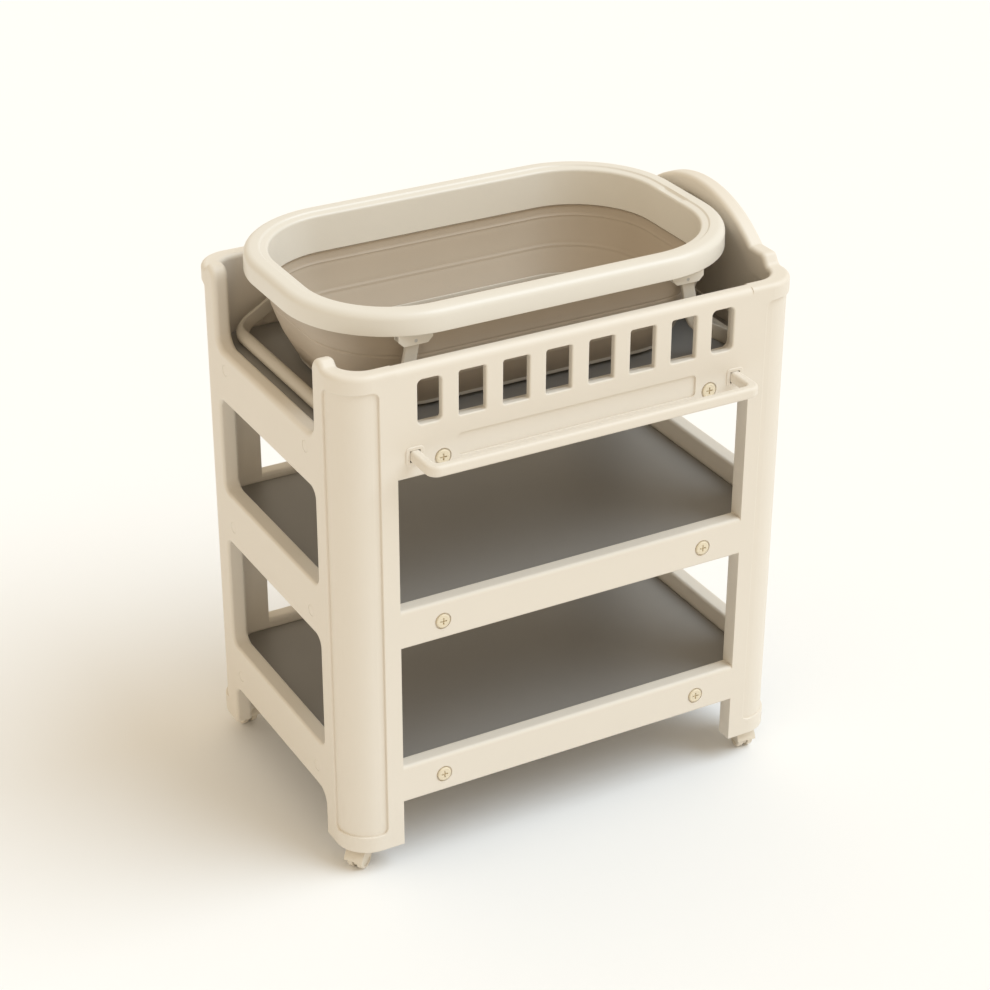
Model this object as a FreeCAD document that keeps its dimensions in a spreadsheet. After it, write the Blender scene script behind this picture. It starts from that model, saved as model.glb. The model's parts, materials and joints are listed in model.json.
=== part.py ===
"""Changing table with a folding baby bath: moulded end frames, three shelves, guards, casters.

Millimetres, +Z up.  The origin is on the floor, in the middle of the whole object's footprint.
Every sub-part is drawn with the table's own centre at y = 0, and its Placement then moves it
back by the sheet's shift_y, so that the footprint with the towel bar is centred.
"""
import FreeCAD, Part
import math
import os

from FreeCAD import Vector

SIZES = {
    # table
    "width": 860, "depth": 575, "post_foot": 47, "post_top": 936, "wall": 30,
    "corner_radius": 58, "hollow_radius": 40, "post_side": 97, "return_width": 100,
    "side_top": 804, "lobe_top": 946, "arch_peak": 1019, "arch_radius": 250, "arch_half_span": 165,
    "arch_step": 954, "post_panel_depth": 4, "post_collar": 30, "low_top_edge": 9, "arch_top_edge": 8,
    "panel_corner": 12, "panel_edge": 1.5,
    "upper_window_foot": 531, "upper_window_top": 709, "lower_window_foot": 218,
    "lower_window_top": 433, "foot_gap_top": 126, "window_corner": 18,
    "caster_boss": 42, "caster_bore": 18,
    # shelves, rails and guards
    "deck_top": 796, "middle_top": 493, "bottom_top": 186, "tray_thick": 45, "tray_gap": 0.5,
    "rail_height": 71, "middle_rail_foot": 434, "bottom_rail_foot": 132, "rail_edge": 7,
    "guard_foot": 744, "guard_slot_foot": 834, "guard_slot_top": 911, "guard_web": 13,
    # fasteners
    "bolt_head": 25, "bolt_head_rise": 5, "bolt_shank": 8, "bolt_length": 50, "seat_depth": 3,
    "side_bolt_spread": 159, "cap_diameter": 20, "side_bore_depth": 11,
    # towel bar
    "bar_reach": 70, "bar_arm_x": 300, "bar_arm_width": 18, "bar_foot": 773, "bar_height": 20,
    "bar_plug": 14, "socket_rise": 2, "shift_y": 34,
    # casters
    "wheel_diameter": 36, "wheel_width": 10, "wheel_gap": 9, "caster_x": 385, "caster_inset": 48,
    "caster_trail": 15, "stem_diameter": 10, "stem_height": 42, "axle_diameter": 6,
    "running_fit": 0.05,
    # bath
    "tub_x": -12, "tub_y": 4, "tub_length": 800, "tub_breadth": 495, "tub_corner": 190,
    "tub_top": 1000, "tub_skirt_foot": 962, "tub_wall_foot": 930, "tub_lip": 42, "tub_skin": 4,
    "body_inset": 35, "body_skin": 3, "base_length": 616, "base_breadth": 332,
    "base_corner": 113, "base_foot": 803, "base_thick": 8, "plug_diameter": 38,
    # bath legs
    "hinge_x": 252, "hinge_z": 948, "hinge_y": 222, "foot_x": 358, "foot_z": 807, "foot_bar": 20,
    "leg_strip": 24, "leg_thick": 8, "leg_bend_out": 18, "leg_bend_drop": 84, "pin_diameter": 6,
}

doc = FreeCAD.newDocument("changing_table")
sheet = doc.addObject("Spreadsheet::Sheet", "sizes")
for row, (alias, number) in enumerate(SIZES.items(), start=1):
    sheet.set(f"A{row}", alias)
    sheet.set(f"B{row}", str(number))
    sheet.setAlias(f"B{row}", alias)
doc.recompute()


def size(alias):
    """The number in the sheet's cell of that name."""
    return float(sheet.get(alias))


FRONT = -size("depth") / 2
SIDE = size("width") / 2
SEAM = SIDE - size("return_width")
INNER_SIDE = SIDE - size("wall")
INNER_FRONT = FRONT + size("wall")
TUB_X = size("tub_x")
TUB_Y = size("tub_y")
nodes = []


# ---------------------------------------------------------------- drawing helpers
def outline(corners):
    """Closed outline through the corners (u, v, radius), each rounded by a tangent arc."""
    spots = [Vector(u, v, 0) for u, v, _ in corners]
    arcs = []
    for index, (_, _, radius) in enumerate(corners):
        corner = spots[index]
        before = (spots[index - 1] - corner).normalize()
        after = (spots[(index + 1) % len(spots)] - corner).normalize()
        half = before.getAngle(after) / 2
        reach = radius / math.tan(half)
        middle = corner + (before + after).normalize() * (radius / math.sin(half) - radius)
        arcs.append((corner + before * reach, middle, corner + after * reach, radius))
    edges = []
    for index, (start, middle, end, radius) in enumerate(arcs):
        if radius > 0:
            edges.append(Part.Arc(start, middle, end))
        following = arcs[(index + 1) % len(arcs)][0]
        if end.distanceToPoint(following) > 1e-6:
            edges.append(Part.LineSegment(end, following))
    return edges


def rectangle(u_low, u_high, v_low, v_high, radius=0.0):
    """Closed rectangle with rounded corners."""
    return outline([(u_low, v_low, radius), (u_high, v_low, radius),
                    (u_high, v_high, radius), (u_low, v_high, radius)])


def centred(u, v, length, breadth, radius=0.0):
    """Closed rounded rectangle about a centre."""
    return rectangle(u - length / 2, u + length / 2, v - breadth / 2, v + breadth / 2, radius)


def circle(u, v, radius):
    """Full circle."""
    return [Part.Circle(Vector(u, v, 0), Vector(0, 0, 1), radius)]


def mirrored_side(corners, side):
    """The same corners for the right end (side 1) or the left end (side -1)."""
    return [(side * u, v, radius) for u, v, radius in corners]


# ---------------------------------------------------------------- feature helpers
def new_body(label):
    """Empty body, moved back so that the whole footprint is centred."""
    body = doc.addObject("PartDesign::Body", label)
    body.Label = label
    body.setExpression(".Placement.Base.y", "sizes.shift_y")
    nodes.append(body)
    return body


def draw(body, plane, start, edges):
    """Sketch on one of the body's origin planes, at the start formula along the plane's axis."""
    sketch = body.newObject("Sketcher::SketchObject", body.Name + "_sketch")
    support = [item for item in body.Origin.OriginFeatures if item.Role == plane][0]
    sketch.AttachmentSupport = [(support, "")]
    sketch.MapMode = "FlatFace"
    sign = "-1" if plane == "XZ_Plane" else "1"
    sketch.setExpression(".AttachmentOffset.Base.z", f"{sign} * ({start})")
    for edge in edges:
        sketch.addGeometry(edge)
    return sketch


def extrude(body, kind, plane, start, length, edges):
    """Pad or Pocket from the start formula towards +X, +Y or +Z by the length formula."""
    before = 0.0 if body.Shape.isNull() else body.Shape.Volume
    feature_sketch = draw(body, plane, start, edges)
    feature = body.newObject("PartDesign::" + kind, f"{body.Name}_{kind}")
    feature.Profile = feature_sketch
    against_normal = plane == "XZ_Plane"
    feature.Reversed = against_normal if kind == "Pad" else not against_normal
    feature.setExpression("Length", length)
    doc.recompute()
    change = body.Shape.Volume - before
    if kind == "Pad" and change <= 0 or kind == "Pocket" and change >= 0:
        raise ValueError(f"{feature.Name} changed nothing: {change}")
    return feature


def pad(body, plane, start, length, edges):
    return extrude(body, "Pad", plane, start, length, edges)


def pocket(body, plane, start, length, edges):
    return extrude(body, "Pocket", plane, start, length, edges)


def soften(body, radius, pick):
    """Fillet every edge of the body whose bounding box the pick function accepts."""
    tip = body.Tip
    chosen = [f"Edge{index}" for index, edge in enumerate(tip.Shape.Edges, start=1)
              if pick(edge.BoundBox)]
    fillet = body.newObject("PartDesign::Fillet", body.Name + "_Fillet")
    fillet.Base = (tip, chosen)
    fillet.Radius = radius
    doc.recompute()
    if not chosen or not fillet.isValid() or not body.Shape.isValid():
        raise ValueError(f"{fillet.Name}: {len(chosen)} edges at radius {radius} failed")


def near(number, target, slack=1e-3):
    return abs(number - target) < slack


def flat_in(box, axis, level):
    """True for an edge that lies in the plane where the axis has that level."""
    return near(getattr(box, axis + "Min"), level) and near(getattr(box, axis + "Max"), level)


def upright(box):
    """True for a straight edge along Z."""
    return box.XLength < 1e-3 and box.YLength < 1e-3


def group(label, template, places):
    """One node of separate equal solids: the template's shape at each place."""
    node = doc.addObject("Part::Feature", label)
    node.Label = label
    solids = []
    for place in places:
        solid = template.copy()
        solid.Placement = place
        solids.append(solid)
    node.Shape = Part.makeCompound(solids)
    node.Placement = FreeCAD.Placement(Vector(0, size("shift_y"), 0), FreeCAD.Rotation())
    nodes.append(node)
    return node


def place(x, y, z, axis=(0, 0, 1)):
    """Placement at the point with the template's +Z turned to the axis."""
    return FreeCAD.Placement(Vector(x, y, z), FreeCAD.Rotation(Vector(0, 0, 1), Vector(*axis)))


# ---------------------------------------------------------------- end frames
def side_bolt_spots():
    """(y, z) of the bolts through one end frame, two into each shelf."""
    spread = size("side_bolt_spread")
    heights = [size(shelf) - size("tray_thick") / 2 for shelf in ("deck_top", "middle_top", "bottom_top")]
    return [(y, z) for z in heights for y in (-spread, spread)]


def skyline_low():
    """Region above the left end: two post lobes with a low dip between them."""
    top = size("post_top")
    lobe = size("lobe_top")
    dip = size("side_top")
    window = FRONT + size("post_side")
    half = [(FRONT - 10, top, 0), (FRONT + 60, top, 9), (FRONT + 70, lobe, 9),
            (window, lobe, 22), (window, dip, 24)]
    return half


def skyline_arch():
    """Region above the right end: post tops, a narrow ledge, and a round headboard."""
    top = size("post_top")
    radius = size("arch_radius")
    half_span = size("arch_half_span")
    lean = math.asin(half_span / radius)
    centre_z = size("arch_peak") - radius
    spring_z = centre_z + radius * math.cos(lean)
    step_z = size("arch_step")
    step_y = half_span + (spring_z - step_z) / math.tan(lean)
    apex = (0, centre_z + radius / math.cos(lean), radius)
    half = [(FRONT - 10, top, 0), (FRONT + 68, top, 10), (FRONT + 80, step_z, 10),
            (-step_y, step_z, 4), apex]
    return half


def both_halves(half):
    """The front half of a skyline, its mirror image and the open sky above."""
    rear = [(-y, z, radius) for y, z, radius in reversed(half) if y != 0]
    sky = size("arch_peak") + 20
    return half + rear + [(-FRONT + 10, sky, 0), (FRONT - 10, sky, 0)]


WINDOWS = [(size("upper_window_foot"), size("upper_window_top")),
           (size("lower_window_foot"), size("lower_window_top"))]


def end_frame(label, side, skyline, top_edge):
    """C-shaped moulding: two rounded posts, three side rails, two windows and an open foot."""
    body = new_body(label)
    plan = [(SEAM, FRONT, 0), (SIDE, FRONT, size("corner_radius")),
            (SIDE, -FRONT, size("corner_radius")), (SEAM, -FRONT, 0),
            (SEAM, -INNER_FRONT, 0), (INNER_SIDE, -INNER_FRONT, size("hollow_radius")),
            (INNER_SIDE, INNER_FRONT, size("hollow_radius")), (SEAM, INNER_FRONT, 0)]
    height = "sizes.arch_peak - sizes.post_foot"
    pad(body, "XY_Plane", "sizes.post_foot", height, outline(mirrored_side(plan, side)))
    through = "sizes.width + 20"
    from_side = "-sizes.width / 2 - 10"
    pocket(body, "YZ_Plane", from_side, through, outline(both_halves(skyline)))
    window_y = FRONT + size("post_side")
    for low, high in WINDOWS:
        pocket(body, "YZ_Plane", from_side, through,
               rectangle(window_y, -window_y, low, high, size("window_corner")))
    gap_top = size("foot_gap_top")
    foot = [(window_y, 0, 0), (window_y, gap_top, 25), (-window_y, gap_top, 25), (-window_y, 0, 0)]
    pocket(body, "YZ_Plane", from_side, through, outline(foot))
    for low, high in WINDOWS + [(0, gap_top)]:
        soften(body, 6, lambda box, low=low, high=high: box.XLength < 1e-3
               and box.ZMin > low - 1 and box.ZMax < high + 1
               and box.YMin > window_y - 1 and box.YMax < -window_y + 1)
    soften(body, top_edge, lambda box: box.ZMin > size("side_top") - 1 and not upright(box)
           and not flat_in(box, "X", side * SEAM))
    for back in (-1, 1):
        spot_y = back * (-FRONT - size("caster_inset"))
        spot_x = side * size("caster_x")
        pad(body, "XY_Plane", "sizes.post_foot", "60",
            circle(spot_x, spot_y, size("caster_boss") / 2))
        pocket(body, "XY_Plane", "sizes.post_foot", "sizes.stem_height + 2",
               circle(spot_x, spot_y, size("caster_bore") / 2))
        panel = post_panel(side, back)
        pocket(body, "XY_Plane", "sizes.post_foot + sizes.post_collar",
               "sizes.post_top - sizes.post_foot - 2 * sizes.post_collar", panel)
    soften_panels(body)
    bore_start = "sizes.width / 2 - sizes.side_bore_depth" if side > 0 else "-sizes.width / 2"
    for y, z in side_bolt_spots():
        pocket(body, "YZ_Plane", bore_start, "sizes.side_bore_depth",
               circle(y, z, size("cap_diameter") / 2))
        pocket(body, "YZ_Plane", from_side, through, circle(y, z, size("bolt_shank") / 2))
    return body


def soften_panels(body):
    """Round the corners and then the borders of the recesses in both posts."""
    low = size("post_foot") + size("post_collar")
    high = size("post_top") - size("post_collar")
    soften(body, size("panel_corner"), lambda box: near(box.DiagonalLength, size("post_panel_depth"))
           and (near(box.ZMin, low) or near(box.ZMin, high)))

    def is_border(box):
        outer_side = near(abs(box.XMin), SIDE) and near(abs(box.XMax), SIDE)
        outer_face = near(abs(box.YMin), -FRONT) and near(abs(box.YMax), -FRONT)
        on_post = min(abs(box.YMin), abs(box.YMax)) > 200
        return on_post and (outer_side or outer_face) and box.ZMin > low - 1 and box.ZMax < high + 1

    soften(body, size("panel_edge"), is_border)


def post_panel(side, back):
    """Band of shallow recess that wraps a post's rounded corner."""
    deep = size("post_panel_depth")
    outer = 1.0
    front_end = SEAM + 30
    side_end = -FRONT - 60
    corners = [(SIDE + outer, side_end, 0), (SIDE - deep, side_end, 0),
               (SIDE - deep, -FRONT - deep, size("corner_radius") - deep),
               (front_end, -FRONT - deep, 0), (front_end, -FRONT + outer, 0),
               (SIDE + outer, -FRONT + outer, 0)]
    return outline([(side * x, back * y, radius) for x, y, radius in corners])


left = end_frame("left_end_frame", -1, skyline_low(), size("low_top_edge"))
right = end_frame("right_end_frame", 1, skyline_arch(), size("arch_top_edge"))
headboard = [(FRONT + 66, 815, 12), (FRONT + 66, 908, 12), (-170, 909, 8), (0, 1101.3, 220),
             (170, 909, 8), (-FRONT - 66, 908, 12), (-FRONT - 66, 815, 12)]
pocket(right, "YZ_Plane", "sizes.width / 2 - sizes.wall", "3", outline(headboard))


# ---------------------------------------------------------------- guards and rails
def face_start(face, deep):
    """Start formula of something that is deep into the front (-1) or rear (1) face."""
    return "-sizes.depth / 2" if face < 0 else f"sizes.depth / 2 - ({deep})"


def bolt_seats(body, face, spots):
    """Round seat in the outer face and a hole right through for each (x, z)."""
    for x, z in spots:
        pocket(body, "XZ_Plane", face_start(face, "sizes.seat_depth"), "sizes.seat_depth",
               circle(x, z, size("bolt_head") / 2 + 2.5))
        pocket(body, "XZ_Plane", face_start(face, "sizes.wall"), "sizes.wall",
               circle(x, z, size("bolt_shank") / 2))


RAIL_BOLT_X = 252.5
GUARD_BOLTS = [(-250.0, 769.0), (250.0, 769.0)]
SLOT_SPANS = [(16, 63.3, 4), (93.6, 141.4, 4), (172.4, 220.6, 4), (251, 293.5, 9)]


def guard(label, face):
    """Guard board with eight slots under a rounded top bead and a shallow name-plate recess."""
    body = new_body(label)
    foot = size("guard_foot")
    pad(body, "XZ_Plane", face_start(face, "sizes.wall"), "sizes.wall",
        rectangle(-SEAM, SEAM, foot, size("post_top")))
    outer = face * -FRONT
    back_of_web = outer - face * size("guard_web")
    soften(body, 12, lambda box: near(box.ZMin, size("post_top")) and box.XLength > 100)
    soften(body, 5, lambda box: near(box.ZMax, foot) and box.XLength > 100)
    web_start = f"{face} * (sizes.depth / 2 - sizes.guard_web)"
    if face > 0:
        web_start = "sizes.depth / 2 - sizes.wall"
    pocket(body, "XZ_Plane", web_start, "sizes.wall - sizes.guard_web",
           rectangle(-302, 302, size("guard_slot_foot") - 7, size("guard_slot_top") + 7, 12))
    for low, high, radius in SLOT_SPANS:
        for side in (-1, 1):
            ends = sorted((side * low, side * high))
            pocket(body, "XZ_Plane", face_start(face, "sizes.wall"), "sizes.wall",
                   rectangle(ends[0], ends[1], size("guard_slot_foot"), size("guard_slot_top"), radius))
    soften(body, 3, lambda box: box.YLength < 1e-3 and box.ZMin > size("guard_slot_foot") - 1
           and box.ZMax < size("guard_slot_top") + 1 and box.XLength < 60
           and (near(box.YMin, outer) or near(box.YMin, back_of_web))
           and abs(box.XMin) < 300 and abs(box.XMax) < 300)
    pocket(body, "XZ_Plane", face_start(face, "3"), "3", rectangle(-223, 223, 764, 804, 8))
    for side in (-1, 1):
        boss_foot = "-sizes.depth / 2 + sizes.wall" if face < 0 else "sizes.depth / 2 - sizes.wall - 5"
        pad(body, "XZ_Plane", boss_foot, "5", circle(side * 304, 808, 10.5))
    bolt_seats(body, face, GUARD_BOLTS)
    return body


def rail(label, face, foot_alias):
    """Shelf rail between the end frames, with a rounded outer top edge and two bolt seats."""
    body = new_body(label)
    foot = size(foot_alias)
    top = foot + size("rail_height")
    pad(body, "XZ_Plane", face_start(face, "sizes.wall"), "sizes.wall",
        rectangle(-SEAM, SEAM, foot, top))
    soften(body, size("rail_edge"), lambda box: near(box.ZMin, top) and box.XLength > 100)
    soften(body, 4, lambda box: near(box.ZMax, foot) and box.XLength > 100)
    bolt_z = foot + 33
    bolt_seats(body, face, [(-RAIL_BOLT_X, bolt_z), (RAIL_BOLT_X, bolt_z)])
    return body


front_guard = guard("front_guard", -1)
rear_guard = guard("rear_guard", 1)
arm_hole_width = size("bar_arm_width") + 1
arm_hole_height = size("bar_height") + 1
BAR_MID_Z = size("bar_foot") + size("bar_height") / 2
for side in (-1, 1):
    pocket(front_guard, "XZ_Plane", face_start(-1, "sizes.bar_plug"), "sizes.bar_plug + 0.5",
           centred(side * size("bar_arm_x"), BAR_MID_Z, arm_hole_width, arm_hole_height, 3))
for name, face in (("front", -1), ("rear", 1)):
    rail(f"middle_{name}_rail", face, "middle_rail_foot")
    rail(f"bottom_{name}_rail", face, "bottom_rail_foot")


# ---------------------------------------------------------------- shelves
def bolt_lines(top_alias):
    """(x, z) of the bolts into the front and rear edges of a shelf."""
    if top_alias == "deck_top":
        return GUARD_BOLTS
    foot = size(top_alias.replace("_top", "_rail_foot"))
    return [(-RAIL_BOLT_X, foot + 33), (RAIL_BOLT_X, foot + 33)]


def tray(label, top_alias):
    """Moulded shelf panel between the end frames, bored for its bolts' sleeves."""
    body = new_body(label)
    gap = size("tray_gap")
    pad(body, "XY_Plane", f"sizes.{top_alias} - sizes.tray_thick", "sizes.tray_thick",
        centred(0, 0, 2 * (INNER_SIDE - gap), 2 * (-INNER_FRONT - gap), size("hollow_radius") + 2))
    soften(body, 4, lambda box: flat_in(box, "Z", size(top_alias)))
    soften(body, 3, lambda box: flat_in(box, "Z", size(top_alias) - size("tray_thick")))
    for x, z in bolt_lines(top_alias):
        for face in (-1, 1):
            start = f"{face} * (sizes.depth / 2 - sizes.wall)"
            start = start + (" - 32" if face > 0 else "")
            pocket(body, "XZ_Plane", start, "32", circle(x, z, 6))
    for y in (-size("side_bolt_spread"), size("side_bolt_spread")):
        for side in (-1, 1):
            start = f"{side} * (sizes.width / 2 - sizes.wall)"
            start = start + (" - 32" if side > 0 else "")
            pocket(body, "YZ_Plane", start, "32", circle(y, size(top_alias) - size("tray_thick") / 2, 6))
    return body


tray("deck_tray", "deck_top")
tray("middle_tray", "middle_top")
tray("bottom_tray", "bottom_top")


# ---------------------------------------------------------------- fasteners
def bolt_shape(head, rise, shank, length):
    """Round-headed bolt with a cross slot: underside of the head at z = 0, shank along -Z."""
    dome = Part.makeCylinder(head / 2, rise)
    dome = dome.makeFillet(rise * 0.45, [edge for edge in dome.Edges if near(edge.BoundBox.ZMin, rise)])
    bolt = dome.fuse(Part.makeCylinder(shank / 2, length, Vector(0, 0, -length)))
    for turn in (0, 90):
        slot = Part.makeBox(head * 0.5, head * 0.1, rise * 0.6,
                            Vector(-head * 0.25, -head * 0.05, rise * 0.4 + 0.01))
        slot.rotate(Vector(0, 0, 0), Vector(0, 0, 1), turn)
        bolt = bolt.cut(slot)
    return bolt.removeSplitter()


def sleeve_shape(outer, inner, length):
    """Threaded sleeve along -Z from z = 0."""
    ring = Part.makeCylinder(outer, length, Vector(0, 0, -length))
    return ring.cut(Part.makeCylinder(inner, length, Vector(0, 0, -length)))


big_bolt = bolt_shape(size("bolt_head"), size("bolt_head_rise"), size("bolt_shank") - 0.2,
                      size("bolt_length"))
seat = -FRONT - size("seat_depth")
rail_spots = bolt_lines("middle_top") + bolt_lines("bottom_top")
for name, face in (("front", -1), ("rear", 1)):
    out = (0, face, 0)
    group(f"{name}_guard_bolts", big_bolt, [place(x, face * seat, z, out) for x, z in GUARD_BOLTS])
    group(f"{name}_rail_bolts", big_bolt, [place(x, face * seat, z, out) for x, z in rail_spots])

sleeve = sleeve_shape(5.9, size("bolt_shank") / 2, 30)
edge_y = -INNER_FRONT - size("tray_gap") - 0.2
sleeve_places = [place(x, face * edge_y, z, (0, face, 0))
                 for x, z in GUARD_BOLTS + rail_spots for face in (-1, 1)]
edge_x = INNER_SIDE - size("tray_gap") - 0.2
sleeve_places += [place(side * edge_x, y, z, (side, 0, 0))
                  for y, z in side_bolt_spots() for side in (-1, 1)]
group("shelf_thread_sleeves", sleeve, sleeve_places)

side_bolt = bolt_shape(16, 5, size("bolt_shank") - 0.2, 48)
cap = Part.makeCylinder(size("cap_diameter") / 2 - 0.1, 4)
cap = cap.makeFillet(1.2, [edge for edge in cap.Edges if near(edge.BoundBox.ZMin, 4)])
for name, side in (("left", -1), ("right", 1)):
    out = (side, 0, 0)
    floor_x = side * (SIDE - size("side_bore_depth"))
    cap_x = side * (SIDE - 4)
    group(f"{name}_side_bolts", side_bolt, [place(floor_x, y, z, out) for y, z in side_bolt_spots()])
    group(f"{name}_side_caps", cap, [place(cap_x, y, z, out) for y, z in side_bolt_spots()])


# ---------------------------------------------------------------- towel bar
def towel_bar():
    """U-shaped bar: two arms plugged into the front guard and a straight bar between them."""
    body = new_body("towel_bar")
    half_arm = size("bar_arm_width") / 2
    outer = size("bar_arm_x") + half_arm
    inner = size("bar_arm_x") - half_arm
    tip = FRONT - size("bar_reach")
    plug = FRONT + size("bar_plug") - 0.5
    loop = [(-outer, plug, 0), (-outer, tip, 20), (outer, tip, 20), (outer, plug, 0),
            (inner, plug, 0), (inner, tip + 17, 8), (-inner, tip + 17, 8), (-inner, plug, 0)]
    pad(body, "XY_Plane", "sizes.bar_foot", "sizes.bar_height", outline(loop))
    soften(body, 6, lambda box: box.ZLength < 1e-3 and not near(box.YMin, plug))
    return body


towel_bar()
rise = size("socket_rise")
plate = Part.makeBox(32, rise, 32, Vector(-16, -rise, -16))
plate = plate.makeFillet(7, [edge for edge in plate.Edges if near(edge.BoundBox.YLength, rise)])
plate = plate.makeFillet(rise * 0.6, [edge for edge in plate.Edges if near(edge.BoundBox.YMax, -rise)])
plate = plate.cut(Part.makeBox(arm_hole_width, rise, arm_hole_height,
                               Vector(-arm_hole_width / 2, -rise, -arm_hole_height / 2)))
group("towel_bar_sockets", plate,
      [place(side * size("bar_arm_x"), FRONT, BAR_MID_Z) for side in (-1, 1)])


# ---------------------------------------------------------------- casters
def caster(name, side, back, heading):
    """Twin-wheel caster: sleeve in the post, stem, hood, axle and wheels, trailing by heading."""
    stem_x = side * size("caster_x")
    stem_y = back * (-FRONT - size("caster_inset"))
    foot = size("post_foot")
    wheel_z = size("wheel_diameter") / 2
    trail = size("caster_trail")
    turn = FreeCAD.Rotation(Vector(0, 0, 1), heading)
    at_stem = FreeCAD.Placement(Vector(stem_x, stem_y, 0), turn)

    stem_radius = size("stem_diameter") / 2
    sleeve_body = Part.makeCylinder(9, size("stem_height"), Vector(0, 0, foot))
    flange = Part.makeCylinder(14, 2, Vector(0, 0, foot - 2))
    bore = Part.makeCylinder(stem_radius + size("running_fit"), size("stem_height") + 2,
                             Vector(0, 0, foot - 2))
    group(f"{name}_caster_sleeve", sleeve_body.fuse(flange).cut(bore).removeSplitter(), [at_stem])

    stem_foot = 37.0
    stem = Part.makeCylinder(stem_radius, foot + 38 - stem_foot, Vector(0, 0, stem_foot))
    group(f"{name}_caster_stem", stem, [at_stem])

    radius = wheel_z
    gap = size("wheel_gap")
    width = size("wheel_width")
    web = Part.makeCylinder(radius - 3, gap - 2, Vector(trail, -(gap - 2) / 2, wheel_z),
                            Vector(0, 1, 0))
    boss = Part.makeCylinder(9, 8, Vector(0, 0, 36.6))
    neck = Part.makeBox(trail + 4, gap - 2, 18, Vector(-4, -(gap - 2) / 2, 18))
    hood_outer = Part.makeCylinder(radius + 4.5, gap + 2 * width + 6,
                                   Vector(trail, -(gap / 2 + width + 3), wheel_z), Vector(0, 1, 0))
    hood_inner = Part.makeCylinder(radius + 1.5, gap + 2 * width + 2,
                                   Vector(trail, -(gap / 2 + width + 1), wheel_z), Vector(0, 1, 0))
    lower = Part.makeBox(80, 60, 40, Vector(trail - 40, -30, wheel_z + 3 - 40))
    hood = hood_outer.cut(hood_inner).cut(lower)
    above = Part.makeBox(200, 200, 50, Vector(-100, -100, foot - 3))
    housing = hood.fuse([web, boss, neck]).cut(above)
    housing = housing.cut(Part.makeCylinder(stem_radius, 30, Vector(0, 0, stem_foot)))
    axle_length = gap + 2 * width - 6
    axle_radius = size("axle_diameter") / 2
    axle = Part.makeCylinder(axle_radius, axle_length, Vector(trail, -axle_length / 2, wheel_z),
                             Vector(0, 1, 0))
    housing = housing.cut(axle).removeSplitter()
    group(f"{name}_caster_housing", housing, [at_stem])
    group(f"{name}_caster_axle", axle, [at_stem])

    wheel = Part.makeCylinder(radius, width, Vector(0, 0, 0))
    wheel = wheel.makeFillet(2.5, wheel.Edges[0:1] + [edge for edge in wheel.Edges
                                                      if near(edge.BoundBox.ZMin, width)][:1])
    dish = Part.makeCylinder(radius - 5, 1.5, Vector(0, 0, width - 1.5))
    wheel = wheel.cut(dish)
    wheel = wheel.cut(Part.makeCylinder(axle_radius + size("running_fit"), width - 2))
    left_wheel = wheel.copy()
    left_wheel.Placement = place(trail, gap / 2, wheel_z, (0, 1, 0))
    right_wheel = wheel.copy()
    right_wheel.Placement = place(trail, -gap / 2, wheel_z, (0, -1, 0))
    group(f"{name}_caster_wheels", Part.makeCompound([left_wheel, right_wheel]), [at_stem])


CASTERS = (("front_left", -1, -1, 215), ("front_right", 1, -1, 262),
           ("rear_left", -1, 1, 95), ("rear_right", 1, 1, 40))
for caster_name, side, back, heading in CASTERS:
    caster(caster_name, side, back, heading)


# ---------------------------------------------------------------- bath
def tub_ring(inset):
    """The bath's outline moved inwards by the inset."""
    return centred(TUB_X, TUB_Y, size("tub_length") - 2 * inset, size("tub_breadth") - 2 * inset,
                   size("tub_corner") - inset)


def tub_rim():
    """Rolled rim: flat top, outer skirt, inner wall, and a channel underneath between them."""
    body = new_body("tub_rim")
    lip = size("tub_lip")
    skin = size("tub_skin")
    pad(body, "XY_Plane", "sizes.tub_skirt_foot", "sizes.tub_top - sizes.tub_skirt_foot",
        tub_ring(0) + tub_ring(lip))
    pad(body, "XY_Plane", "sizes.tub_wall_foot", "sizes.tub_skirt_foot - sizes.tub_wall_foot",
        tub_ring(lip - skin) + tub_ring(lip))
    soften(body, 9, lambda box: flat_in(box, "Z", size("tub_top"))
           and max(abs(box.XMin - TUB_X), abs(box.XMax - TUB_X)) > 0)
    pocket(body, "XY_Plane", "sizes.tub_skirt_foot",
           "sizes.tub_top - sizes.tub_skirt_foot - sizes.tub_skin",
           tub_ring(skin) + tub_ring(lip - skin))
    pocket(body, "XY_Plane", "sizes.tub_top - 3", "3",
           centred(TUB_X + size("tub_length") / 2 - 22, TUB_Y, 9, 60, 4.4))
    return body


def loft(body, kind, low_start, low_edges, high_start, high_edges):
    """Additive or subtractive loft between two outlines parallel to the floor."""
    low = draw(body, "XY_Plane", low_start, low_edges)
    high = draw(body, "XY_Plane", high_start, high_edges)
    feature = body.newObject(f"PartDesign::{kind}Loft", f"{body.Name}_{kind}Loft")
    feature.Profile = low
    feature.Sections = [high]
    feature.Ruled = True
    doc.recompute()


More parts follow.
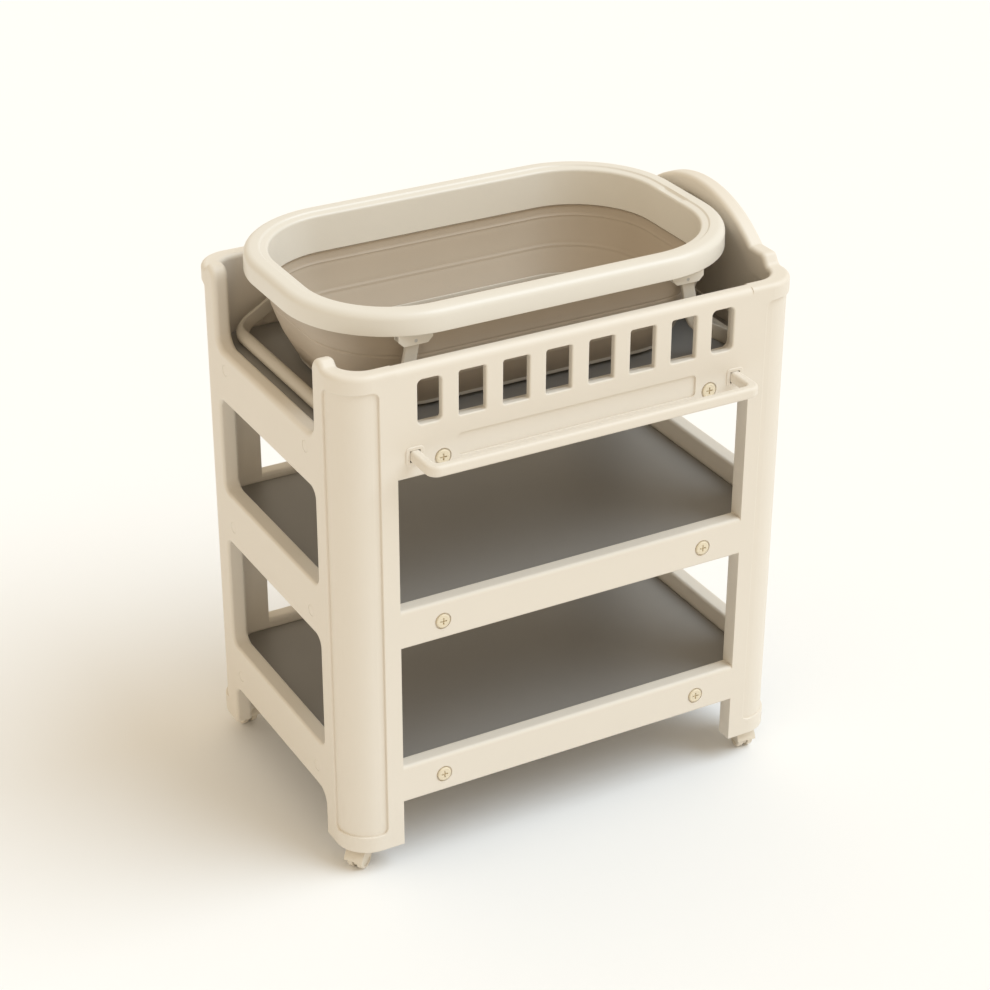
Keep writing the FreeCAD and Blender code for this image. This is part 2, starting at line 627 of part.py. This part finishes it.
def tub_body():
    """Soft folding wall of the bath: a bead that grips the rim's wall, then a tapering skin."""
    body = new_body("tub_body")
    skin = size("body_skin")
    lip = size("tub_lip")
    bottom = (size("base_length") + 2 + 2 * skin, size("base_breadth") + 2 + 2 * skin,
              size("base_corner") + 1 + skin)
    inside = (bottom[0] - 2 * skin, bottom[1] - 2 * skin, bottom[2] - skin)
    low = "sizes.base_foot + 1"
    waist = "sizes.tub_wall_foot - 2"
    high = "sizes.tub_skirt_foot"
    waist_inset = lip - skin - 2
    loft(body, "Additive", low, centred(TUB_X, TUB_Y, *bottom), waist, tub_ring(waist_inset))
    loft(body, "Additive", waist, tub_ring(waist_inset), high, tub_ring(size("body_inset")))
    loft(body, "Subtractive", low, centred(TUB_X, TUB_Y, *inside), waist, tub_ring(lip))
    pocket(body, "XY_Plane", waist, "2", tub_ring(lip))
    pocket(body, "XY_Plane", "sizes.tub_wall_foot - 0.1",
           "sizes.tub_skirt_foot - sizes.tub_wall_foot + 0.2", tub_ring(lip - size("tub_skin") - 0.1))
    return body


PLUG_X = TUB_X - 190


def tub_base():
    """Rigid floor of the bath with a raised edge and the drain hole."""
    body = new_body("tub_base")
    pad(body, "XY_Plane", "sizes.base_foot", "sizes.base_thick",
        centred(TUB_X, TUB_Y, size("base_length"), size("base_breadth"), size("base_corner")))
    soften(body, 2.5, lambda box: flat_in(box, "Z", size("base_foot") + size("base_thick")))
    pocket(body, "XY_Plane", "sizes.base_foot", "sizes.base_thick", circle(PLUG_X, TUB_Y, 13.2))
    return body


tub_rim()
tub_body()
tub_base()

plug = Part.makeCylinder(size("plug_diameter") / 2, 4)
plug = plug.makeFillet(1.5, [edge for edge in plug.Edges if near(edge.BoundBox.ZMin, 4)])
plug = plug.fuse(Part.makeCylinder(12.9, size("base_thick") + 1, Vector(0, 0, -size("base_thick") - 1)))
plug = plug.fuse(Part.makeBox(18, 3, 12, Vector(-9, -1.5, 3))).removeSplitter()
group("drain_plug", plug,
      [place(PLUG_X, TUB_Y, size("base_foot") + size("base_thick") + 0.3)])


# ---------------------------------------------------------------- bath legs
def strip(points, width, inner_radius):
    """Corners of a bent flat strip of that width along three points of its middle line."""
    (x0, z0), (x1, z1), (x2, z2) = points
    first = Vector(x1 - x0, z1 - z0, 0).normalize()
    second = Vector(x2 - x1, z2 - z1, 0).normalize()
    left_first = Vector(-first.y, first.x, 0) * (width / 2)
    left_second = Vector(-second.y, second.x, 0) * (width / 2)
    middle = left_first + left_second
    miter = middle * ((width / 2) ** 2 / (middle * left_first) )
    corner = Vector(x1, z1, 0)
    start = Vector(x0, z0, 0)
    end = Vector(x2, z2, 0)
    spots = [(start + left_first, 0), (corner + miter, inner_radius), (end + left_second, 0),
             (end - left_second, 0), (corner - miter, inner_radius + width), (start - left_first, 0)]
    return [(spot.x, spot.y, radius) for spot, radius in spots]


def leg_frame(name, side):
    """U-shaped leg: foot bar on the deck and two bent strips that rise to the hinge pins."""
    body = new_body(f"{name}_leg_frame")
    foot_x = TUB_X + side * size("foot_x")
    hinge_x = TUB_X + side * size("hinge_x")
    hinge_y = size("hinge_y")
    half_thick = size("leg_thick") / 2
    pad(body, "XZ_Plane", "sizes.tub_y - sizes.hinge_y - sizes.leg_thick / 2",
        "2 * sizes.hinge_y + sizes.leg_thick", circle(foot_x, size("foot_z"), size("foot_bar") / 2))
    soften(body, 7, lambda box: box.YLength < 1e-3)
    bend = (hinge_x + side * size("leg_bend_out"), size("hinge_z") - size("leg_bend_drop"))
    middle_line = [(hinge_x, size("hinge_z")), bend, (foot_x, size("foot_z") + 2)]
    arm = strip(middle_line, size("leg_strip"), 40)
    for back in (-1, 1):
        arm_start = f"sizes.tub_y + ({back * hinge_y - half_thick})"
        pad(body, "XZ_Plane", arm_start, "sizes.leg_thick", outline(arm))
        pad(body, "XZ_Plane", arm_start, "sizes.leg_thick",
            circle(hinge_x, size("hinge_z"), size("leg_strip") / 2 + 0.5))
        pocket(body, "XZ_Plane", f"{arm_start} - 1", "sizes.leg_thick + 2",
               circle(hinge_x, size("hinge_z"), size("pin_diameter") / 2 + size("running_fit")))
    return body


for leg_name, side in (("left", -1), ("right", 1)):
    leg_frame(leg_name, side)

pin_length = size("leg_thick") + 9
bracket_rise = size("tub_skirt_foot") - size("hinge_z")
bracket = Part.makeBox(60, pin_length, bracket_rise + 7, Vector(-30, -pin_length / 2, -7))
bracket = bracket.makeChamfer(9, [edge for edge in bracket.Edges
                                  if near(edge.BoundBox.YLength, pin_length)
                                  and near(edge.BoundBox.ZMin, -7)])
tang = Part.makeBox(44, pin_length, size("tub_top") - size("tub_skin") - size("tub_skirt_foot"),
                    Vector(-22, -pin_length / 2, bracket_rise))
bracket = bracket.fuse(tang)
slot_width = size("leg_thick") + 1
slot_roof = bracket_rise + 12
bracket = bracket.cut(Part.makeBox(80, slot_width, slot_roof + 14, Vector(-40, -slot_width / 2, -14)))
pin = Part.makeCylinder(size("pin_diameter") / 2, pin_length, Vector(0, -pin_length / 2, 0),
                        Vector(0, 1, 0))
bracket = bracket.cut(pin).removeSplitter()
hinge_places = [place(TUB_X + side * size("hinge_x"), TUB_Y + back * size("hinge_y"), size("hinge_z"))
                for side in (-1, 1) for back in (-1, 1)]
group("leg_brackets", bracket, hinge_places)
group("leg_hinge_pins", pin, hinge_places)


# ---------------------------------------------------------------- checks and export
doc.recompute()
for item in doc.Objects:
    if "Invalid" in item.State or "Error" in item.State:
        raise ValueError(f"{item.Name} failed: {item.State}")
os.makedirs("parts", exist_ok=True)
for node in nodes:
    if node.Shape.isNull() or not node.Shape.isValid():
        raise ValueError(f"{node.Label} has no valid shape")
    node.Shape.exportStep(f"parts/{node.Label}.step")
print(len(nodes), "nodes written")
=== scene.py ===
"""Changing table with a folding baby bath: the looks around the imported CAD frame, in metres."""
import json
import math

import bpy
import numpy as np
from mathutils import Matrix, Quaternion, Vector


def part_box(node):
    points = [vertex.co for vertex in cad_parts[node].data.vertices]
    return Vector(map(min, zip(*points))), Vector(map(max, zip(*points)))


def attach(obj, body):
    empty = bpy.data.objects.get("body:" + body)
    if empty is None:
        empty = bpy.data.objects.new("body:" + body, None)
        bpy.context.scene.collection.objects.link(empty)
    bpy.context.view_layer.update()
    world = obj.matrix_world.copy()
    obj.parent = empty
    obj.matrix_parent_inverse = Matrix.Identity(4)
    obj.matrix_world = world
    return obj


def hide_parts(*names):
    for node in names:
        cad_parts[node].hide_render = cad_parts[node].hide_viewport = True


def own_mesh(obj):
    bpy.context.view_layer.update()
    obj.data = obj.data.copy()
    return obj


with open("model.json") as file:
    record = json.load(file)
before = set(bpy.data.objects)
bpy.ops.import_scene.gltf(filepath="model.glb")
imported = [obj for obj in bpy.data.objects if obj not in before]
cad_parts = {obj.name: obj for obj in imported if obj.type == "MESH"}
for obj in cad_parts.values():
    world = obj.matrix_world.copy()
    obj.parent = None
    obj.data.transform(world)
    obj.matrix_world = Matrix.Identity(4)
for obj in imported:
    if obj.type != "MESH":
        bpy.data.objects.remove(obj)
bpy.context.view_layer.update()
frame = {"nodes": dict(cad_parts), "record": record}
NODES = frame["nodes"]
RECORD = frame["record"]


# ---------------------------------------------------------------- shapes
def rounded_path(points, radii, steps=6):
    """Open path through the points: each inner corner becomes a circular arc of its radius,
    drawn by steps + 1 points at equal angles between the two tangent points."""
    spots = [np.array(p, float) for p in points]
    line = [spots[0]]
    for before, corner, after, radius in zip(spots, spots[1:], spots[2:], radii):
        a = (before - corner) / np.linalg.norm(before - corner)
        b = (after - corner) / np.linalg.norm(after - corner)
        half = math.acos(float(np.clip(a @ b, -1, 1))) / 2
        centre = corner + (a + b) / np.linalg.norm(a + b) * radius / math.sin(half)
        start = corner + a * radius / math.tan(half) - centre
        end = corner + b * radius / math.tan(half) - centre
        turn = math.pi - 2 * half
        share = np.linspace(0, 1, steps + 1)[:, None]
        arc = (np.sin((1 - share) * turn) * start + np.sin(share * turn) * end) / math.sin(turn)
        line.extend(centre + arc)
    line.append(spots[-1])
    return np.array(line)


def rounded_loop(half_x, half_y, radius, arc_steps=20, long_steps=26, short_steps=16):
    """Rounded rectangles, one per row of the three arrays: a point is the centre of its corner
    circle (half - radius) plus the outward unit normal times the radius.  The centre slides
    along the straight runs while the normal stands still, and the normal turns on the arcs."""
    quarter = np.linspace(0, math.pi / 2, arc_steps, endpoint=False)
    normals, corner_x, corner_y = [], [], []
    signs = ((1, 1), (-1, 1), (-1, -1), (1, -1))
    for index, (sx, sy) in enumerate(signs):
        next_x, next_y = signs[(index + 1) % 4]
        angle = quarter + index * math.pi / 2
        run = long_steps if index % 2 == 0 else short_steps
        share = np.linspace(0, 1, run, endpoint=False)
        fixed = np.full(run, (index + 1) * math.pi / 2)
        normals.append(np.concatenate([angle, fixed]))
        corner_x.append(np.concatenate([np.full(arc_steps, sx), sx + (next_x - sx) * share]))
        corner_y.append(np.concatenate([np.full(arc_steps, sy), sy + (next_y - sy) * share]))
    theta = np.concatenate(normals)
    corner_x = np.concatenate(corner_x)
    corner_y = np.concatenate(corner_y)
    half_x, half_y, radius = (np.asarray(v, float)[:, None] for v in (half_x, half_y, radius))
    x = (half_x - radius) * corner_x + radius * np.cos(theta)
    y = (half_y - radius) * corner_y + radius * np.sin(theta)
    return x, y


def grid_faces(rows, columns, close_rows, close_columns):
    """Quads of a grid of points, row by row; a closed direction joins its last line to its
    first."""
    r = np.arange(rows if close_rows else rows - 1)
    c = np.arange(columns if close_columns else columns - 1)
    rr, cc = np.meshgrid(r, c, indexing="ij")
    r2, c2 = (rr + 1) % rows, (cc + 1) % columns
    corners = [rr * columns + cc, rr * columns + c2, r2 * columns + c2, r2 * columns + cc]
    quads = np.stack(corners, -1)
    return quads.reshape(-1, 4)


def make_mesh(name, points, faces, material, smooth_angle=40):
    """Mesh object from an (n, 3) array of points and a list of faces, with outward normals."""
    mesh = bpy.data.meshes.new(name)
    mesh.from_pydata(points.tolist(), [], [list(map(int, face)) for face in faces])
    mesh.validate()
    piece = bpy.data.objects.new(name, mesh)
    bpy.context.scene.collection.objects.link(piece)
    bpy.context.view_layer.objects.active = piece
    for other in bpy.context.selected_objects:
        other.select_set(False)
    piece.select_set(True)
    bpy.ops.object.mode_set(mode="EDIT")
    bpy.ops.mesh.select_all(action="SELECT")
    bpy.ops.mesh.normals_make_consistent(inside=False)
    bpy.ops.object.mode_set(mode="OBJECT")
    bpy.ops.object.shade_smooth_by_angle(angle=math.radians(smooth_angle))
    mesh.materials.append(material)
    return piece


# ---------------------------------------------------------------- materials
def new_material(name, colour, roughness, specular=0.5):
    """Principled material with constant values on the shader's own sockets."""
    material = bpy.data.materials.new(name)
    material.use_nodes = True
    tree = material.node_tree
    shader = tree.nodes["Principled BSDF"]
    shader.inputs["Base Color"].default_value = (*colour, 1)
    shader.inputs["Roughness"].default_value = roughness
    shader.inputs["Specular IOR Level"].default_value = specular
    return material, tree, shader


def node(tree, kind, **sockets):
    """New shader node; keyword arguments set its input sockets by name."""
    made = tree.nodes.new(kind)
    for name, value in sockets.items():
        made.inputs[name.replace("_", " ")].default_value = value
    return made


def moulded_plastic(name, colour, roughness, grain=0.0012, depth=0.25, mottle=0.03):
    """Moulded plastic: fine pebble texture, slow colour mottle and uneven sheen."""
    material, tree, shader = new_material(name, colour, roughness)
    link = tree.links.new
    place = node(tree, "ShaderNodeTexCoord")
    slow = node(tree, "ShaderNodeTexNoise", Scale=9.0, Detail=3.0, Roughness=0.6)
    link(place.outputs["Object"], slow.inputs["Vector"])
    ramp = node(tree, "ShaderNodeMapRange")
    ramp.inputs["To Min"].default_value = 1 - mottle
    ramp.inputs["To Max"].default_value = 1 + mottle * 0.6
    link(slow.outputs["Fac"], ramp.inputs["Value"])
    tint = node(tree, "ShaderNodeVectorMath")
    tint.operation = "SCALE"
    tint.inputs[0].default_value = colour
    link(ramp.outputs["Result"], tint.inputs["Scale"])
    link(tint.outputs["Vector"], shader.inputs["Base Color"])
    pebble = node(tree, "ShaderNodeTexNoise", Scale=1 / grain, Detail=2.0, Roughness=0.55)
    link(place.outputs["Object"], pebble.inputs["Vector"])
    bump = node(tree, "ShaderNodeBump", Strength=depth, Distance=grain * 0.3)
    link(pebble.outputs["Fac"], bump.inputs["Height"])
    link(bump.outputs["Normal"], shader.inputs["Normal"])
    sheen = node(tree, "ShaderNodeMapRange")
    sheen.inputs["To Min"].default_value = roughness - 0.06
    sheen.inputs["To Max"].default_value = roughness + 0.08
    link(pebble.outputs["Fac"], sheen.inputs["Value"])
    link(sheen.outputs["Result"], shader.inputs["Roughness"])
    return material


def plated_steel(name):
    """Zinc-plated steel: bright metal with cloudy roughness."""
    material, tree, shader = new_material(name, (0.62, 0.62, 0.61), 0.32)
    shader.inputs["Metallic"].default_value = 1.0
    place = node(tree, "ShaderNodeTexCoord")
    cloud = node(tree, "ShaderNodeTexNoise", Scale=400.0, Detail=3.0)
    tree.links.new(place.outputs["Object"], cloud.inputs["Vector"])
    rough = node(tree, "ShaderNodeMapRange")
    rough.inputs["To Min"].default_value = 0.24
    rough.inputs["To Max"].default_value = 0.45
    tree.links.new(cloud.outputs["Fac"], rough.inputs["Value"])
    tree.links.new(rough.outputs["Result"], shader.inputs["Roughness"])
    return material


cream = moulded_plastic("cream pebbled plastic", (0.79, 0.73, 0.64), 0.46, 0.0011, 0.3, 0.02)
shelf_grey = moulded_plastic("brown grey shelf plastic", (0.26, 0.243, 0.222), 0.42, 0.0009,
                             0.35, 0.05)
bath_white = moulded_plastic("warm white bath plastic", (0.78, 0.74, 0.665), 0.32, 0.004,
                             0.05, 0.015)
bath_taupe = moulded_plastic("taupe bath skin", (0.49, 0.41, 0.32), 0.44, 0.0008, 0.15, 0.05)
# Leg frame colour: a cream a little darker than the body, darkened further as painted shade
# standing in for the bath rim's shadow over the legs; the bath's foot band takes the same colour
leg_cream_with_painted_shade = moulded_plastic("leg frame plastic with painted shade", (0.62, 0.57, 0.49), 0.40, 0.003, 0.06, 0.02)
knob_cream = moulded_plastic("knob plastic", (0.78, 0.69, 0.52), 0.36, 0.002, 0.08, 0.03)
wheel_cream = moulded_plastic("wheel plastic", (0.76, 0.69, 0.58), 0.36, 0.002, 0.08, 0.04)
plug_taupe = moulded_plastic("plug rubber", (0.28, 0.23, 0.19), 0.55, 0.0008, 0.2, 0.05)
steel = plated_steel("zinc plated steel")
SLOT_MATERIALS = {"cream_plastic": cream, "shelf_plastic": shelf_grey, "bath_plastic": bath_white,
                  "bath_skin": bath_taupe, "plug_rubber": plug_taupe, "wheel_plastic": wheel_cream,
                  "caster_plastic": wheel_cream, "bolt_plastic": knob_cream,
                  "leg_plastic": leg_cream_with_painted_shade, "steel": steel}

for entry in RECORD["subparts"]:
    cad_piece = NODES[entry["node"]]
    cad_piece.data.materials.clear()
    cad_piece.data.materials.append(SLOT_MATERIALS[entry["material_slot"]])


# ---------------------------------------------------------------- the folding bath
# ---------------------------------------------------------------- bath
MM = 0.001
rim_low, rim_high = (np.array(corner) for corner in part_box("tub_rim"))
body_low = np.array(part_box("tub_body")[0])
base_low, base_high = (np.array(corner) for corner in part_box("tub_base"))
BATH = (rim_low + rim_high) / 2
RIM_HALF = (rim_high - rim_low)[:2] / 2
RIM_CORNER = 190 * MM
RIM_LIP = 42 * MM
SKIRT_DROP = 38 * MM
WALL_DROP = 70 * MM
BASE_HALF = (base_high - base_low)[:2] / 2
BASE_CORNER = 113 * MM
RIM_TOP = rim_high[2]
FOLDS = (0.14, 0.55)
HINGE_REACH = 252 * MM
HINGE_SPREAD = 222 * MM
HINGE_DROP = 52 * MM
FOOT_REACH = 364 * MM


def bath_rings(half_x, half_y, radius, heights, closed):
    """Closed rounded rectangles about the bath's middle, one per height, joined into a skin."""
    x, y = rounded_loop(half_x, half_y, radius)
    z = np.repeat(np.asarray(heights)[:, None], x.shape[1], axis=1)
    points = np.stack([x + BATH[0], y + BATH[1], z], -1)
    return points, grid_faces(x.shape[0], x.shape[1], closed, True)


def rim_dip(x, y, inset):
    """Depth of the finger hollow at the bath's right end: a flat-bottomed dimple whose borders
    follow the smooth step 3t^2 - 2t^3 along the rim and across it."""
    half_length, half_width, middle, depth = 34 * MM, 7.5 * MM, 32 * MM, 2.2 * MM
    along = np.clip((half_length - np.abs(y - BATH[1])) / (6 * MM), 0, 1)
    across = np.clip((half_width - np.abs(inset - middle)) / (3 * MM), 0, 1)
    right = (x > BATH[0]).astype(float)
    return depth * right * along ** 2 * (3 - 2 * along) * across ** 2 * (3 - 2 * across)


def make_rim():
    """Rolled rim: a (inset, height) profile of rounded corners carried round the bath's outline;
    outer skirt, domed top with a low ledge towards the inside, deep inner wall, hollow below."""
    profile = rounded_path(
        [(2, -38), (0, -38), (0.5, 0), (26, 0), (28.5, -2.6), (42, -3.6), (42, -70), (38.4, -70),
         (38, -6.5), (4, -6.5), (4, -38), (2, -38)],
        [1.2, 13, 2.2, 1.8, 5, 1.2, 1.2, 3, 7, 1.2], steps=7)[:-1] * MM
    inset = profile[:, 0]
    points, faces = bath_rings(RIM_HALF[0] - inset, RIM_HALF[1] - inset, RIM_CORNER - inset,
                               RIM_TOP + profile[:, 1], closed=True)
    on_top = (profile[:, 1] > -5 * MM)[:, None]
    points[..., 2] -= on_top * rim_dip(points[..., 0], points[..., 1], inset[:, None])
    rim = make_mesh("bath_rim", points.reshape(-1, 3), faces, bath_white, 35)
    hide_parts("tub_rim")
    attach(rim, "tub")


def make_skin():
    """Soft folding wall: height falls from the rim to the floor while the outline shrinks from
    the rim's to the floor's; the wall swells by a half sine, and each fold is a Gaussian groove."""
    grip = 35 * MM
    waist = RIM_TOP - WALL_DROP - 2 * MM
    fall = waist - body_low[2]
    share = np.linspace(0, 1, 64)
    swell = 6 * MM * np.sin(math.pi * share)
    folds = sum(np.exp(-((share - place) / 0.014) ** 2) for place in FOLDS) * 1.6 * MM
    shoulders = sum(np.exp(-((share - place) / 0.05) ** 2) for place in FOLDS)
    out = swell - folds + shoulders * 0.8 * MM
    out[-1] = 0
    low_half = BASE_HALF + 4 * MM
    low_corner = BASE_CORNER + 4 * MM
    half_x = (RIM_HALF[0] - grip) * (1 - share) + low_half[0] * share + out
    half_y = (RIM_HALF[1] - grip) * (1 - share) + low_half[1] * share + out
    corner = (RIM_CORNER - grip) * (1 - share) + low_corner * share + out
    height = waist - fall * share
    wall = 3 * MM
    tucked = RIM_TOP - SKIRT_DROP - 1 * MM
    wall_foot = RIM_TOP - WALL_DROP - 0.5 * MM
    top_rows = [(RIM_HALF[0] - grip, RIM_HALF[1] - grip, RIM_CORNER - grip, tucked)]
    inner_top = 38 * MM
    inner_rows = [(RIM_HALF[0] - inner_top, RIM_HALF[1] - inner_top, RIM_CORNER - inner_top, z)
                  for z in (wall_foot, tucked)]
    outer = np.stack([half_x, half_y, corner, height], -1)
    inner = outer[::-1] - np.array([wall, wall, wall, 0])
    inner[-1, :3] = np.array([RIM_HALF[0], RIM_HALF[1], RIM_CORNER]) - RIM_LIP
    inner[-1, 3] = wall_foot
    rows = np.concatenate([np.array(top_rows), outer, inner, np.array(inner_rows)])
    points, faces = bath_rings(rows[:, 0], rows[:, 1], rows[:, 2], rows[:, 3], closed=True)
    skin = make_mesh("bath_skin", points.reshape(-1, 3), faces, bath_taupe, 50)
    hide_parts("tub_body")
    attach(skin, "tub")
    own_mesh(skin)


def make_floor_ring():
    """Stiff foot band round the bath's floor: a small rounded section carried round the outline."""
    profile = rounded_path([(3.5, 0), (6.5, 0), (6.8, 13), (4.2, 13), (4.1, 4), (3.5, 4), (3.5, 0)],
                           [1.2, 1.2, 1.2, 0.2, 0.2], steps=4)[:-1] * MM
    outset = profile[:, 0]
    points, faces = bath_rings(BASE_HALF[0] + outset, BASE_HALF[1] + outset, BASE_CORNER + outset,
                               base_low[2] + profile[:, 1], closed=True)
    # The foot band takes the leg colour, which carries painted shade
    ring = make_mesh("bath_foot_band", points.reshape(-1, 3), faces, leg_cream_with_painted_shade, 40)
    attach(ring, "tub_floor")


def sweep(name, path, wide, thick, power, width_way, material, segments=28):
    """Section carried along the path: at each point the tangent, the given width direction made
    square to it, and their cross product carry the super-ellipse of that width and thickness."""
    tangent = np.gradient(path, axis=0)
    tangent /= np.linalg.norm(tangent, axis=1)[:, None]
    across = width_way - (width_way * tangent).sum(1)[:, None] * tangent
    across /= np.linalg.norm(across, axis=1)[:, None]
    normal = np.cross(tangent, across)
    angle = np.linspace(0, 2 * math.pi, segments, endpoint=False)
    cosine, sine = np.cos(angle), np.sin(angle)
    exponent = 2 / power[:, None]
    a = np.sign(cosine) * np.abs(cosine) ** exponent * wide[:, None] / 2
    b = np.sign(sine) * np.abs(sine) ** exponent * thick[:, None] / 2
    points = path[:, None] + a[..., None] * across[:, None] + b[..., None] * normal[:, None]
    faces = [list(face) for face in grid_faces(len(path), segments, False, True)]
    count = len(path) * segments
    faces += [list(range(segments)), list(range(count - segments, count))]
    return make_mesh(name, points.reshape(-1, 3), faces, material, 50)


def make_leg(side, name, body):
    """One leg as a single moulding: a path of straight runs and arcs from hinge to foot bar to
    hinge.  The section is a flat strip on the arms and turns into a round bar along the foot by
    the smooth step 3t^2 - 2t^3 of the distance from the middle."""
    box_low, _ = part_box(name)
    hinge_x = BATH[0] + side * HINGE_REACH
    hinge_z = RIM_TOP - HINGE_DROP
    foot = (BATH[0] + side * FOOT_REACH, HINGE_SPREAD, box_low[2] + 11.5 * MM)
    half_path = [(hinge_x, HINGE_SPREAD, hinge_z + 9 * MM),
                 (hinge_x + side * 18 * MM, HINGE_SPREAD, hinge_z - 84 * MM), foot]
    corners = [(x, BATH[1] - y, z) for x, y, z in half_path]
    corners += [(x, BATH[1] + y, z) for x, y, z in half_path[::-1]]
    path = rounded_path(corners, np.array([40, 30, 30, 40]) * MM, steps=12)
    middle = len(path) // 2
    foot_bar = np.linspace(path[middle - 1], path[middle], 6)[1:-1]
    path = np.insert(path, middle, foot_bar, axis=0)
    tangent = np.gradient(path, axis=0)
    flat = np.stack([-tangent[:, 2], np.zeros(len(path)), tangent[:, 0]], -1)
    flat *= np.where(flat[:, :1] < 0, -1, 1)
    length = np.linalg.norm(flat, axis=1, keepdims=True)
    run = foot[0] - half_path[1][0]
    rise = half_path[1][2] - foot[2]
    low_way = np.array([rise, 0, run]) / math.hypot(run, rise)
    flat = np.where(length > 0.2 * np.linalg.norm(tangent, axis=1, keepdims=True),
                    flat / np.maximum(length, 1e-9), low_way)
    share = np.clip((np.abs(path[:, 1] - BATH[1]) - 190 * MM) / (32 * MM), 0, 1)
    share = share ** 2 * (3 - 2 * share)
    # The leg colour is darker than the body cream, partly as painted shade from the rim above
    leg = sweep(body + "_moulding", path, (23 + share) * MM, (23 - 15 * share) * MM,
                2 + 4 * share, flat, leg_cream_with_painted_shade)
    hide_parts(name)
    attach(leg, body)


make_rim()
make_skin()
make_floor_ring()
make_leg(-1, "left_leg_frame", "left_leg")
make_leg(1, "right_leg_frame", "right_leg")


# ---------------------------------------------------------------- floor, light and camera
floor_size = 14.0
bpy.ops.mesh.primitive_plane_add(size=floor_size, location=(0, 0, 0))
floor = bpy.context.active_object
floor.name = "studio_floor"
floor_paint = new_material("pale studio floor", (0.93, 0.93, 0.93), 0.9, 0.1)[0]
floor.data.materials.append(floor_paint)

world = bpy.data.worlds.new("studio")
bpy.context.scene.world = world
world.use_nodes = True
sky = world.node_tree.nodes["Background"]
sky.inputs["Color"].default_value = (1.0, 0.87, 0.68, 1)
sky.inputs["Strength"].default_value = 0.79


window_light = bpy.data.lights.new("window_light", "SUN")
window_light.energy = 1.9
window_light.color = (0.70, 0.85, 1.0)
window_light.angle = math.radians(45)
window = bpy.data.objects.new("window_light", window_light)
bpy.context.scene.collection.objects.link(window)
window.location = (2.6, -1.9, 4.2)
window.rotation_euler = (-window.location).to_track_quat("-Z", "Y").to_euler()

camera_data = bpy.data.cameras.new("camera")
camera = bpy.data.objects.new("camera", camera_data)
bpy.context.scene.collection.objects.link(camera)
camera.location = (-1.828, -3.2668, 2.532)
camera_data.lens = 88.37
camera_data.sensor_width = 36.0
look = Vector((0.4271, 0.7699, -0.4742))
camera_roll = 0.0033
level = look.to_track_quat("-Z", "Y")
camera.rotation_euler = (level @ Quaternion((0, 0, 1), camera_roll)).to_euler()
bpy.context.scene.camera = camera
bpy.context.scene.view_settings.view_transform = "Standard"
